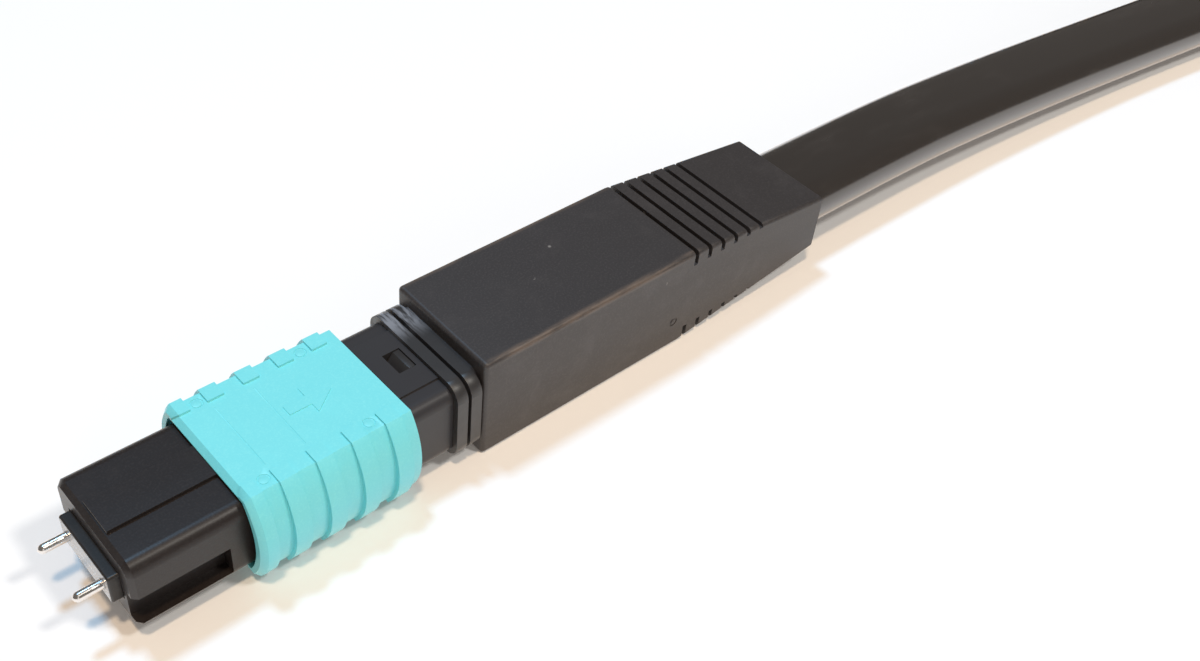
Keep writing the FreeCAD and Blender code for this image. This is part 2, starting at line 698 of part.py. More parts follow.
def makeCrimpRing():
    body = newBody("crimp_ring")
    width = "barrel_width + 2*seat_gap"
    height = "barrel_height + 2*seat_gap"
    outside = (f"{width} + 2*crimp_wall", f"{height} + 2*crimp_wall")
    ring = padBox(body, "crimp_front", "crimp_length", *outside, "2.3")
    chamferFront(body, ring, "crimp_front", "0.15")
    cutBox(body, "crimp_front", "crimp_length", width, height, "2")
    return body


def makeAnchorHalf(label, side):
    """Half of the clamp that grips the strength rods and the buffer tube."""
    body = newBody(label)
    low, high = sideways(side, "seat_gap/2", "anchor_height/2")
    section = span("-anchor_width/2", "anchor_width/2", low, high)
    padOutline(body, "anchor_front", "anchor_length", section)
    rods = [("rod_spacing/2", "0"), ("-rod_spacing/2", "0")]
    cutCircles(body, "anchor_front", "anchor_length", rods, "rod_radius + seat_gap")
    cutCircles(body, "anchor_front", "anchor_length", [("0", "0")], "tube_radius + seat_gap")
    return body


def makeAnchorBand():
    body = newBody("anchor_band")
    x = "anchor_front + (anchor_length - band_length)/2"
    width = "anchor_width + 2*seat_gap"
    height = "anchor_height + 2*seat_gap"
    padBox(body, x, "band_length", f"{width} + 2*band_wall", f"{height} + 2*band_wall", "0.5")
    cutBox(body, x, "band_length", width, height, "0.05")
    return body


def makeStrengthRod(label, side):
    body = newBody(label)
    section = newSketch(body, "anchor_front + anchor_length - rod_reach")
    drawCircles(section, [(f"{side}*rod_spacing/2", "0")], "rod_radius")
    pad(body, section, "rod_reach")
    return body


def makeBufferTube():
    body = newBody("buffer_tube")
    section = newSketch(body, "anchor_front + anchor_length - tube_reach")
    drawCircles(section, [("0", "0")], "tube_radius")
    drawCircles(section, [("0", "0")], "tube_bore_radius")
    pad(body, section, "tube_reach")
    return body


# ---- boot ----

def makeBoot():
    """Square boot, thinned towards the flat cable, with bend grooves cut down to one level."""
    body = newBody("boot")
    height = "2*axis_height"
    padBox(body, "boot_front", "boot_bend - boot_front", "boot_width", height, "boot_edge")
    taper = body.newObject("PartDesign::AdditiveLoft", "Taper")
    start = newSketch(body, "boot_bend")
    drawOutline(start, *roundedBox("boot_width", height, "boot_edge"))
    end = newSketch(body, "boot_end")
    drawOutline(end, *roundedBox("boot_end_width", "boot_end_height", "boot_edge"))
    taper.Profile = start
    taper.Sections = [end]
    taper.Ruled = True
    body.Tip = taper
    doc.recompute()
    across = span("groove_first", "groove_first + groove_width", "-boot_width", "boot_width")
    groove = newSketch(body, "groove_floor", "XY_Plane")
    drawOutline(groove, across)
    slot = pocket(body, groove, "axis_height")
    under = newSketch(body, "-groove_floor", "XY_Plane")
    drawOutline(under, across)
    underSlot = pocket(body, under, "axis_height", backwards=True)
    repeatAlongX(body, [slot, underSlot], "groove_pitch", "groove_count")
    gate = newSketch(body, "boot_width/2 - gate_depth", "XZ_Plane")
    drawCircles(gate, [("gate_x", "gate_level")], "gate_radius")
    drawCircles(gate, [("gate_x", "gate_level")], "gate_radius/2")
    pocket(body, gate, "1")
    pocketEnd = "anchor_front + anchor_length + 0.2"
    cutBox(body, "boot_front", f"{pocketEnd} - boot_front", "boot_pocket_width", "boot_pocket_height", "0.6")
    hole = ("cable_width + 2*fit_gap", "cable_thick + 2*fit_gap")
    cutBox(body, "boot_front", "boot_end - boot_front", *hole, "cable_round")
    return body


# ---- flat cable: the stretch behind the boot, then a coil stood on its edge ----

CABLE_ROUTE = [
    (15.9, 0.0, 4.62),
    (44.0, 0.0, 4.62),
    (64.0, -0.9, 3.95),
    (88.0, -3.1, 3.25),
    (113.0, -6.7, 3.8),
    (137.0, -8.0, 4.85),
]
LAST_GAP = 8.0  # the coil's solid takes over this far before the line meets it
TWIST_EDGES = 3  # the last runs and bend of the line, along which the cable turns on to its edge
TWIST_STEPS = 8


def cableSection(centre, along, roll):
    """Rounded rectangle across the cable's direction, rolled about it by an angle in degrees."""
    width = size("cable_width")
    thick = size("cable_thick")
    radius = size("cable_round")
    box = Part.makePlane(width, thick, FreeCAD.Vector(-width / 2, -thick / 2, 0))
    solid = box.extrude(FreeCAD.Vector(0, 0, 1))
    upright = []
    for edge in solid.Edges:
        if abs(edge.Vertexes[0].Z - edge.Vertexes[1].Z) > 0.5:
            upright.append(edge)
    rounded = solid.makeFillet(radius, upright)
    face = [item for item in rounded.Faces if abs(item.CenterOfMass.z) < 1e-6][0]
    wire = face.OuterWire.copy()
    across = FreeCAD.Vector(0, 0, 1).cross(along).normalize()
    up = along.cross(across).normalize()
    turned = FreeCAD.Rotation(along, roll)
    frame = FreeCAD.Rotation(turned.multVec(across), turned.multVec(up), along, "ZXY")
    wire.Placement = FreeCAD.Placement(centre, frame).multiply(wire.Placement)
    return wire


def roundedPath(points):
    """Straight runs joined by tangent arcs that are as large as the runs allow."""
    edges = []
    here = points[0]
    for before, corner, after in zip(points, points[1:], points[2:]):
        inward = (before - corner).normalize()
        outward = (after - corner).normalize()
        half = (math.pi - inward.getAngle(outward)) / 2
        reach = 0.45 * min(before.distanceToPoint(corner), corner.distanceToPoint(after))
        radius = reach / math.tan(half)
        print(f"cable bend: radius {radius:.0f} mm, turn {math.degrees(2 * half):.1f} degrees")
        start = corner + inward * reach
        end = corner + outward * reach
        bisector = (inward + outward).normalize()
        middle = corner + bisector * (radius / math.cos(half) - radius)
        edges.append(Part.LineSegment(here, start).toShape())
        edges.append(Part.Arc(start, middle, end).toShape())
        here = end
    edges.append(Part.LineSegment(here, points[-1]).toShape())
    return edges


def makeCable(coil):
    """Flat stretch from the anchor, then a quarter twist that stands the cable on its edge."""
    points = [FreeCAD.Vector(*point) for point in CABLE_ROUTE]
    edges = roundedPath(points)
    twistPath = Part.Wire(edges[-TWIST_EDGES:])
    path = Part.Wire(edges[:-TWIST_EDGES])
    sweep = Part.BRepOffsetAPI.MakePipeShell(path)
    sweep.setBiNormalMode(FreeCAD.Vector(0, 0, 1))
    sweep.add(cableSection(points[0], (points[1] - points[0]).normalize(), 0))
    sweep.build()
    sweep.makeSolid()
    flat = sweep.shape()
    centres = twistPath.discretize(Distance=(twistPath.Length - LAST_GAP) / TWIST_STEPS)
    centres = centres[:TWIST_STEPS + 1]
    sections = [Part.Wire(Part.__sortEdges__(sweep.lastShape().Edges))]
    for step in range(1, TWIST_STEPS + 1):
        share = step / TWIST_STEPS
        roll = -90 * share * share * (3 - 2 * share)
        along = (centres[step] - centres[step - 1]).normalize()
        sections.append(cableSection(centres[step], along, roll))
    twist = Part.makeLoft(sections, True, True)
    length = path.Length + twistPath.Length - LAST_GAP
    expected = length * Part.Face(sections[0]).Area
    cable = flat.fuse(twist)
    print(f"cable volume {cable.Volume:.0f} mm3, section times length {expected:.0f} mm3")
    feature = doc.addObject("Part::Feature", "cable")
    feature.Label = "cable"
    room = coil.Shape.makeOffsetShape(0.03, 0.001, join=2)
    feature.Shape = cable.cut(room)
    return feature


def lastHeading():
    """Direction of the cable, seen from above, where it meets the coil."""
    end = FreeCAD.Vector(*CABLE_ROUTE[-1])
    heading = end - FreeCAD.Vector(*CABLE_ROUTE[-2])
    heading.z = 0
    return heading.normalize()


def coilCentre():
    heading = lastHeading()
    left = FreeCAD.Vector(-heading.y, heading.x, 0)
    centre = FreeCAD.Vector(*CABLE_ROUTE[-1]) + left * size("coil_radius")
    return FreeCAD.Vector(centre.x, centre.y, 0)


def newCoilBody(label, angle=0, lift="tie_wall"):
    """A body about the coil's upright axis; its X axis points out from the centre at an angle."""
    centre = coilCentre()
    body = newBody(label, x=str(centre.x), y=str(centre.y), z=lift)
    body.Placement.Rotation = FreeCAD.Rotation(FreeCAD.Vector(0, 0, 1), angle)
    doc.recompute()
    return body


COIL_OUTER = "coil_radius + cable_thick/2"
COIL_INNER = "coil_radius + cable_thick/2 - coil_turns*coil_pitch"


def makeCoil():
    """Outer shape of the coil: the cable stands on its edge, so its turns lie side by side."""
    body = newCoilBody("cable_coil")
    ring = newSketch(body, "0", "XY_Plane")
    drawCircles(ring, [("0", "0")], COIL_OUTER)
    drawCircles(ring, [("0", "0")], COIL_INNER)
    pad(body, ring, "cable_width")
    return body


def makeTie(label, angle):
    """Hook-and-loop strap round the turns."""
    body = newCoilBody(label, angle, "0")
    strap = newSketch(body, "-tie_width/2", "XZ_Plane")
    near = f"{COIL_INNER} - 0.2"
    far = f"{COIL_OUTER} + 0.05"
    top = "cable_width + tie_wall + seat_gap"
    outside = span(f"{near} - tie_wall", f"{far} + tie_wall", "0", f"{top} + tie_wall")
    drawOutline(strap, outside)
    pad(body, strap, "tie_width")
    hole = newSketch(body, "-tie_width/2", "XZ_Plane")
    drawOutline(hole, span(near, far, "tie_wall", top))
    pocket(body, hole, "tie_width")
    return body


def makeEndCap():
    """Sealing cap on the cable's far end, inside the innermost turn."""
    heading = lastHeading()
    angle = math.degrees(math.atan2(-heading.x, heading.y)) + 360 * size("coil_turns")
    body = newCoilBody("cable_end_cap", angle)
    cap = newSketch(body, "-cap_length/2", "XZ_Plane")
    thick = "cable_thick + 2*cap_wall"
    far = f"{COIL_INNER} - 0.75"
    drawOutline(cap, span(f"{far} - ({thick})", far, "0", "cable_width + cap_wall"))
    block = pad(body, cap, "cap_length")
    edges = edgesOf(block, lambda start, end: abs(start.y - end.y) > 1)
    fillet = body.newObject("PartDesign::Fillet", "Fillet")
    fillet.Base = (block, edges)
    fillet.setExpression("Radius", bound("cap_round"))
    doc.recompute()
    return body


def makeParts():
    """Every sub-part, in the order from the ferrule to the cable's far end."""
    parts = [
        makeFerrule(),
        makeGuidePin("guide_pin_left", 1),
        makeGuidePin("guide_pin_right", -1),
        makePinClamp(),
        makeFerruleBoot(),
        makeRibbon(),
        makeMainSpring(),
        makeInnerHousing(),
        makeCouplingSleeve(),
        makeCouplingSpring("coupling_spring_left", 1),
        makeCouplingSpring("coupling_spring_right", -1),
        makeRearBody(),
        makeCrimpRing(),
        makeAnchorHalf("anchor_upper", 1),
        makeAnchorHalf("anchor_lower", -1),
        makeAnchorBand(),
        makeStrengthRod("strength_rod_left", 1),
        makeStrengthRod("strength_rod_right", -1),
        makeBufferTube(),
        makeBoot(),
    ]
    coil = makeCoil()
    parts += [makeCable(coil), coil]
    parts += [makeTie("coil_tie_1", 40), makeTie("coil_tie_2", 160), makeEndCap()]
    return parts


def checkDocument(parts):
    doc.recompute()
    for item in doc.Objects:
        if "Invalid" in item.State or "Error" in item.State:
            raise ValueError(f"{item.Label} ({item.Name}) failed: {item.State}")
    for part in parts:
        if part.Shape.isNull() or not part.Shape.isValid():
            raise ValueError(f"{part.Label} has no valid shape")
        if len(part.Shape.Solids) != 1:
            raise ValueError(f"{part.Label} has {len(part.Shape.Solids)} solids")


parts = makeParts()
checkDocument(parts)
os.makedirs("parts", exist_ok=True)
for part in parts:
    part.Shape.exportStep(f"parts/{part.Label}.step")
    box = part.Shape.BoundBox
    reach = f"X {box.XMin:.2f} to {box.XMax:.2f}, Z {box.ZMin:.2f} to {box.ZMax:.2f}"
    print(f"{part.Label}: {part.Shape.Volume:.1f} mm3, {reach}")
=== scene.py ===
# Multi-fibre push-on connector on a flat drop cable: finishes, soft edges, cable, light and camera.
import math

import bmesh
import bpy
from mathutils import Euler, Matrix, Vector


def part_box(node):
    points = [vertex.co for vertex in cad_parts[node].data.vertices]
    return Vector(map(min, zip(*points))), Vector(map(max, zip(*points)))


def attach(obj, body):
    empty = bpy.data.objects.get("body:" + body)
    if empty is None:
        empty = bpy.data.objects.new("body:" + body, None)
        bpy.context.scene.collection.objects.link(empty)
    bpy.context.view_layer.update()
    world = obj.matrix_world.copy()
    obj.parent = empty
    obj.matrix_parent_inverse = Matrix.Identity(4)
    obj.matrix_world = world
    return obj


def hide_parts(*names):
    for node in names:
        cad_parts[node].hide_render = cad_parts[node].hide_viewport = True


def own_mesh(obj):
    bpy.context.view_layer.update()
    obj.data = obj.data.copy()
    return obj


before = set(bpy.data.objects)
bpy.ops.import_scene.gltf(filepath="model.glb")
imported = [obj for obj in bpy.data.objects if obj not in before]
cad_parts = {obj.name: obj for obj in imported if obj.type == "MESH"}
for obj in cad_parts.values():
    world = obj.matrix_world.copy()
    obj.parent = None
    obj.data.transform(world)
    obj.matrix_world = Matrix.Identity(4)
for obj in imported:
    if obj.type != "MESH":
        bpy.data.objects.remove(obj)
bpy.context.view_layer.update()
mm = 0.001


# a Value wraps a socket, and arithmetic on it adds the Math nodes
class Value:
    def __init__(self, paint, socket):
        self.paint = paint
        self.socket = socket

    def math(self, operation, other=None, swap=False):
        inputs = [self] if other is None else [self, other]
        if swap:
            inputs.reverse()
        return self.paint.node("ShaderNodeMath", {"operation": operation}, dict(enumerate(inputs)))

    def __add__(self, other):
        return self.math("ADD", other)

    def __radd__(self, other):
        return self.math("ADD", other, swap=True)

    def __sub__(self, other):
        return self.math("SUBTRACT", other)

    def __rsub__(self, other):
        return self.math("SUBTRACT", other, swap=True)

    def __mul__(self, other):
        return self.math("MULTIPLY", other)

    def __rmul__(self, other):
        return self.math("MULTIPLY", other, swap=True)

    def __abs__(self):
        return self.math("ABSOLUTE")

    def sine(self):
        return self.math("SINE")

    def most(self, other):
        return self.math("MAXIMUM", other)


class Paint:
    def __init__(self, name):
        self.material = bpy.data.materials.new(name)
        self.material.use_nodes = True
        self.nodes = self.material.node_tree.nodes
        self.links = self.material.node_tree.links
        self.nodes.clear()

    # any node: its settings first, then the values or links of its sockets
    def node(self, kind, settings=None, inputs=None, output=0):
        made = self.nodes.new(kind)
        for key, setting in (settings or {}).items():
            setattr(made, key, setting)
        for key, given in (inputs or {}).items():
            if isinstance(given, Value):
                self.links.new(given.socket, made.inputs[key])
            else:
                made.inputs[key].default_value = given
        return Value(self, made.outputs[output]) if output is not None else None

    def place(self, scale=(1, 1, 1), source="Object"):
        where = self.node("ShaderNodeTexCoord", output=source)
        return self.node("ShaderNodeVectorMath", {"operation": "MULTIPLY"}, {0: where, 1: scale})

    def axes(self, vector):
        split = self.node("ShaderNodeSeparateXYZ", inputs={0: vector})
        outputs = split.socket.node.outputs
        return [Value(self, outputs[index]) for index in range(3)]

    def noise(self, vector, scale, detail=3.0, roughness=0.55, distortion=0.0):
        inputs = {
            "Vector": vector,
            "Scale": scale,
            "Detail": detail,
            "Roughness": roughness,
            "Distortion": distortion,
        }
        return self.node("ShaderNodeTexNoise", inputs=inputs)

    # 0 below low, 1 above high, and a soft step between
    def step(self, value, low, high):
        inputs = {"Value": value, "From Min": low, "From Max": high}
        return self.node("ShaderNodeMapRange", {"interpolation_type": "SMOOTHSTEP"}, inputs)

    # the same step between two distances in millimetres
    def beyond(self, distance, near, far):
        return self.step(distance, near * mm, far * mm)

    def within(self, distance, near, far):
        return 1.0 - self.beyond(distance, near, far)

    def mix(self, factor, first, second):
        settings = {"data_type": "RGBA"}
        inputs = {0: factor, 6: withAlpha(first), 7: withAlpha(second)}
        return self.node("ShaderNodeMix", settings, inputs, output=2)

    def bump(self, height, distance, strength):
        inputs = {"Height": height, "Distance": distance * mm, "Strength": strength}
        return self.node("ShaderNodeBump", inputs=inputs)

    def finish(self, **sockets):
        inputs = {key.replace("_", " "): given for key, given in sockets.items()}
        shader = self.node("ShaderNodeBsdfPrincipled", inputs=inputs)
        self.node("ShaderNodeOutputMaterial", inputs={"Surface": shader}, output=None)
        return self.material


def withAlpha(color):
    return color if isinstance(color, Value) else (*color, 1.0)


# a paler or darker shade of a colour
def shade(color, factor, lift=0.0, most=1.0):
    return tuple(min(most, part * factor + lift) for part in color)


# scales count waves to the metre; ranges are where a soft step starts and ends
moulding = {
    "grainScale": 6500.0,
    "smudgeScale": 260.0,
    "flowStretch": (60.0, 420.0, 420.0),
    "smudgeRange": (0.5, 0.78),
    "speckleRange": (0.46, 0.70),
    "specklePerGrain": 30,
    "speckleMost": 0.45,
    "relief": 0.6,
}


# moulded plastic: spark-eroded grain, faint flow marks and handling smudges
def mouldedPlastic(name, color, roughness, grain, smudge, extraPaint=None, bend=1.5):
    paint = Paint(name)
    where = paint.place()
    fine = paint.noise(where, moulding["grainScale"], 2.0)
    cloud = paint.noise(where, moulding["smudgeScale"], 4.0, 0.6, 0.4)
    flow = paint.noise(paint.place(moulding["flowStretch"]), 1.0, 3.0)
    rub = paint.step(cloud, *moulding["smudgeRange"]) * smudge
    tone = paint.mix(rub, color, shade(color, 1.5, 0.02))
    speckleShare = min(moulding["speckleMost"], grain * moulding["specklePerGrain"])
    speckle = paint.step(fine, *moulding["speckleRange"]) * speckleShare
    tone = paint.mix(speckle, tone, shade(color, 1.7, 0.01, 0.85))
    gloss = roughness + (flow - 0.5) * 0.1 - rub * 0.12
    if extraPaint:
        tone, gloss = extraPaint(paint, tone, gloss, cloud)
    relief = paint.bump(fine * 0.7 + cloud * 0.3, grain, moulding["relief"])
    return paint.finish(Base_Color=tone, Roughness=gloss, Normal=relief, IOR=bend)


# each pair of distances is where the mark starts to fade and where it has gone
endFace = {
    "fibrePitch": 0.25,
    "rowLength": (1.50, 1.53),
    "rowHeight": (0.05, 0.08),
    "lapDepth": (0.010, 0.030),
    # painted reflection: the pale grey that the polished face shows
    "faceReflection": (0.40, 0.41, 0.42),
    "fibre": (0.75, 0.78, 0.80),
    "haze": (0.24, 0.25, 0.26),
    "roughness": 0.16,
}


# the end face is lapped, with the fibre ends in a row across its middle; its pale grey is a painted
# reflection of the floor on the black ferrule
def endFaceReflection(paint, tone, gloss, cloud):
    along, across, up = paint.axes(paint.place())
    low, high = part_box("ferrule")
    middle = (low[2] + high[2]) / 2
    lapStart, lapEnd = (low[0] + depth * mm for depth in endFace["lapDepth"])
    face = 1.0 - paint.step(along, lapStart, lapEnd)
    ends = (abs((across * (math.pi / (endFace["fibrePitch"] * mm))).sine()) - 0.5) * 2.0
    row = paint.step(ends, 0.2, 0.5) * paint.within(abs(up - middle), *endFace["rowHeight"])
    row = row * paint.within(abs(across), *endFace["rowLength"])
    faceReflection = paint.mix(row, endFace["faceReflection"], endFace["fibre"])
    haze = paint.noise(paint.place(), 2500.0, 3.0)
    faceReflection = paint.mix(paint.step(haze, 0.5, 0.8) * 0.3, faceReflection, endFace["haze"])
    return paint.mix(face, tone, faceReflection), gloss * (1.0 - face) + face * endFace["roughness"]


bootHighlightAndNicks = {
    "edge": (0.12, 0.62),
    "streakStretch": (260.0, 1500.0, 1500.0),
    # paler brown of the top edges: painted highlight together with wear
    "paleStreak": (0.150, 0.112, 0.088),
    "nickScale": 420.0,
    "nick": (0.30, 0.28, 0.26),
}


# a paler brown along the long top edges, partly handling wear and partly a painted highlight; small
# pale nicks show on the sides
def highlitScuffedEdges(paint, tone, gloss, cloud):
    _, across, up = paint.axes(paint.place())
    _, side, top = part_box("boot")[1]
    inset = (side - abs(across)).most(0.0) + (top - up).most(0.0)
    streak = paint.noise(paint.place(bootHighlightAndNicks["streakStretch"]), 1.0, 4.0, 0.65)
    paleStreak = paint.within(inset, *bootHighlightAndNicks["edge"]) * paint.step(streak, 0.30, 0.62)
    tone = paint.mix(paleStreak * 0.85, tone, bootHighlightAndNicks["paleStreak"])
    dustInputs = {"Vector": paint.place(), "Scale": bootHighlightAndNicks["nickScale"]}
    dust = paint.node("ShaderNodeTexVoronoi", inputs=dustInputs)
    nick = (1.0 - paint.step(dust, 0.05, 0.09)) * paint.step(cloud, 0.56, 0.60)
    return paint.mix(nick * 0.6, tone, bootHighlightAndNicks["nick"]), gloss - paleStreak * 0.12


collarHighlight = {
    "across": (0.5, 3.2),
    "height": (7.0, 7.4),
    "streakStretch": (1400.0, 240.0, 240.0),
    # painted highlight colour
    "polished": (0.26, 0.28, 0.32),
}


# streaks on one side of the collars' tops: a painted bluish highlight, where the surface is also
# smoother
def highlitCollars(paint, tone, gloss, cloud):
    _, across, up = paint.axes(paint.place())
    streak = paint.noise(paint.place(collarHighlight["streakStretch"]), 1.0, 4.0, 0.65)
    paleStreak = paint.beyond(across, *collarHighlight["across"]) * paint.step(streak, 0.44, 0.62)
    paleStreak = paleStreak * paint.beyond(up, *collarHighlight["height"])
    return paint.mix(paleStreak * 0.8, tone, collarHighlight["polished"]), gloss - paleStreak * 0.14


behindSleeve = {"start": (-13.0, -9.0), "tone": (0.034, 0.032, 0.034)}


# the moulding is a shade greyer behind the sleeve
def greyBehind(paint, tone, gloss, cloud):
    along = paint.axes(paint.place())[0]
    rear = paint.beyond(along, *behindSleeve["start"])
    return paint.mix(rear, tone, behindSleeve["tone"]), gloss + rear * 0.04


# drawn metal: fine lines, and a duller patch here and there
def brightMetal(name, color, roughness, stretch):
    paint = Paint(name)
    lines = paint.noise(paint.place(stretch), 1.0, 3.0, 0.6)
    dull = paint.step(paint.noise(paint.place(), 1500.0, 3.0), 0.45, 0.75)
    tone = paint.mix(dull * 0.5, color, shade(color, 0.72))
    relief = paint.bump(lines, 0.004, 0.5)
    gloss = roughness + dull * 0.12 + (lines - 0.5) * 0.08
    return paint.finish(Base_Color=tone, Metallic=1.0, Roughness=gloss, Normal=relief)


dieLines = {"along": 2.0, "around": 190.0, "depth": 0.012}


# extruded jacket: long faint die lines, polished by handling
def extrudedJacket(name, color, roughness):
    paint = Paint(name)
    along, around, _ = paint.axes(paint.place(source="UV"))
    stretched = {0: along * dieLines["along"], 1: around * dieLines["around"]}
    lines = paint.noise(paint.node("ShaderNodeCombineXYZ", inputs=stretched), 1.0, 4.0, 0.6)
    scuff = paint.noise(paint.place((90.0, 300.0, 300.0)), 1.0, 4.0, 0.6, 0.5)
    paleStreak = paint.step(scuff, 0.52, 0.8)
    tone = paint.mix(paleStreak * 0.5, color, shade(color, 1.6, 0.01))
    gloss = roughness + (lines - 0.5) * 0.1 + paleStreak * 0.08
    relief = paint.bump(lines * 0.8 + scuff * 0.2, dieLines["depth"], 0.5)
    return paint.finish(
        Base_Color=tone,
        Roughness=gloss,
        Normal=relief,
        IOR=1.5,
        Coat_Weight=0.6,
        Coat_Roughness=0.14,
    )


weave = {"threads": 5200.0, "slant": 1700.0, "depth": 0.12}


def wovenStrap(name, color):
    paint = Paint(name)
    along, across, up = paint.axes(paint.place())
    warp = (along * weave["threads"]).sine()
    weft = (up * weave["threads"] + across * weave["slant"]).sine()
    fuzz = paint.noise(paint.place(), 4200.0, 4.0, 0.7)
    tone = paint.mix(fuzz, color, shade(color, 2.2, 0.02))
    relief = paint.bump(warp * weft * 0.5 + fuzz, weave["depth"], 0.8)
    return paint.finish(Base_Color=tone, Roughness=0.85 + (fuzz - 0.5) * 0.2, Normal=relief)


# coated fibres side by side, clear between them
def clearCoatRibbon(name, colors):
    paint = Paint(name)
    across = paint.axes(paint.place())[1]
    fibre = (across * (2 * math.pi / (endFace["fibrePitch"] * mm))).sine()
    haze = paint.noise(paint.place((30.0, 900.0, 900.0)), 1.0, 3.0)
    tone = paint.mix(paint.step(fibre + haze * 0.5, -0.4, 0.9), *colors)
    relief = paint.bump(fibre, 0.05, 0.7)
    return paint.finish(Base_Color=tone, Roughness=0.25 + haze * 0.15, Normal=relief)


# moulded plastics: colour, roughness, grain in millimetres, smudges, extra paint (wear, nicks,
# painted highlights, a painted reflection, a greyer rear), refractive index
finishes = {
    "mouldedBlack": mouldedPlastic("moulded_black", (0.030, 0.027, 0.026), 0.50, 0.012, 0.35),
    "bootBlack": mouldedPlastic(
        "boot_black", (0.030, 0.025, 0.024), 0.50, 0.014, 0.35, highlitScuffedEdges
    ),
    "noseBlack": mouldedPlastic(
        "nose_black", (0.018, 0.014, 0.013), 0.36, 0.010, 0.25, greyBehind, 1.36
    ),
    "ringBlack": mouldedPlastic(
        "ring_black", (0.026, 0.024, 0.024), 0.40, 0.003, 0.45, highlitCollars
    ),
    "ferruleBlack": mouldedPlastic(
        "ferrule_black", (0.021, 0.019, 0.018), 0.36, 0.008, 0.2, endFaceReflection, 1.36
    ),
    "aqua": mouldedPlastic("moulded_aqua", (0.185, 0.70, 0.755), 0.42, 0.006, 0.10),
    "softBlack": mouldedPlastic("soft_black", (0.020, 0.020, 0.021), 0.68, 0.02, 0.3),
    "natural": mouldedPlastic("natural_tube", (0.72, 0.71, 0.66), 0.45, 0.006, 0.1),
    "glassRod": mouldedPlastic("glass_rod", (0.62, 0.55, 0.36), 0.5, 0.03, 0.3),
    "steel": brightMetal("polished_steel", (0.66, 0.64, 0.62), 0.18, (400.0, 9000.0, 9000.0)),
    "springWire": brightMetal("spring_wire", (0.52, 0.51, 0.50), 0.28, (4000.0, 4000.0, 4000.0)),
    "crimpMetal": brightMetal("crimp_metal", (0.72, 0.71, 0.69), 0.32, (900.0, 2500.0, 2500.0)),
    "jacket": extrudedJacket("extruded_jacket", (0.026, 0.021, 0.018), 0.22),
    "strap": wovenStrap("woven_strap", (0.018, 0.018, 0.020)),
    "ribbon": clearCoatRibbon("coated_ribbon", ((0.25, 0.42, 0.52), (0.72, 0.80, 0.84))),
}
print("finishes made")


nodeFinish = {
    "ferrule": "ferruleBlack",
    "guide_pin_left": "steel",
    "guide_pin_right": "steel",
    "pin_clamp": "crimpMetal",
    "ferrule_boot": "softBlack",
    "fibre_ribbon": "ribbon",
    "main_spring": "springWire",
    "coupling_spring_left": "springWire",
    "coupling_spring_right": "springWire",
    "inner_housing": "noseBlack",
    "coupling_sleeve": "aqua",
    "rear_body": "ringBlack",
    "crimp_ring": "crimpMetal",
    "anchor_upper": "mouldedBlack",
    "anchor_lower": "mouldedBlack",
    "anchor_band": "crimpMetal",
    "strength_rod_left": "glassRod",
    "strength_rod_right": "glassRod",
    "buffer_tube": "natural",
    "boot": "bootBlack",
    "coil_tie_1": "strap",
    "coil_tie_2": "strap",
    "cable_end_cap": "softBlack",
}


def dress(piece, finish):
    piece.data.materials.clear()
    piece.data.materials.append(finishes[finish])


for node, finish in nodeFinish.items():
    dress(bpy.data.objects[node], finish)


def addObject(name, data):
    made = bpy.data.objects.new(name, data)
    bpy.context.collection.objects.link(made)
    return made


def smoothFaces(data):
    for polygon in data.polygons:
        polygon.use_smooth = True


# a copy of a solid has its sharp edges broken like a real moulding's: width, body, slot
softEdges = {
    "inner_housing": (0.22, "connector", "black_plastic"),
    "coupling_sleeve": (0.12, "sleeve", "aqua_plastic"),
    "rear_body": (0.20, "connector", "black_plastic"),
    "boot": (0.20, "connector", "black_plastic"),
    "ferrule": (0.03, "ferrule_group", "ferrule"),
}

edgeBreak = {"weld": 0.002, "flatAngle": 1.5, "sharpAngle": 28, "segments": 2}

# the boot's long outer edges and front rim are rounder than the rest
bootEdges = {
    "radius": 0.38,
    "segments": 4,
    "shortest": 8.0,
    "sharpAngle": 40,
    "nearSide": 0.6,
    "nearFront": 0.05,
    "straightness": 0.98,
}


def roundBoot(mesh):
    low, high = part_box("boot")
    sharpAngle = math.radians(bootEdges["sharpAngle"])
    chosen = []
    for edge in mesh.edges:
        if len(edge.link_faces) != 2 or edge.calc_face_angle(0.0) < sharpAngle:
            continue
        first, second = (vertex.co for vertex in edge.verts)
        along = second - first
        outer = min(abs(first.y), abs(second.y)) > high[1] - bootEdges["nearSide"] * mm
        front = max(first.x, second.x) < low[0] + bootEdges["nearFront"] * mm
        long = along.length > bootEdges["shortest"] * mm
        lengthways = abs(along.x) > bootEdges["straightness"] * along.length
        if (lengthways and long and outer) or (front and (outer or long)):
            chosen.append(edge)
    print("boot has", len(chosen), "rounded edges")
    bmesh.ops.bevel(
        mesh,
        geom=chosen,
        offset=bootEdges["radius"] * mm,
        segments=bootEdges["segments"],
        profile=0.5,
        affect="EDGES",
        clamp_overlap=True,
    )


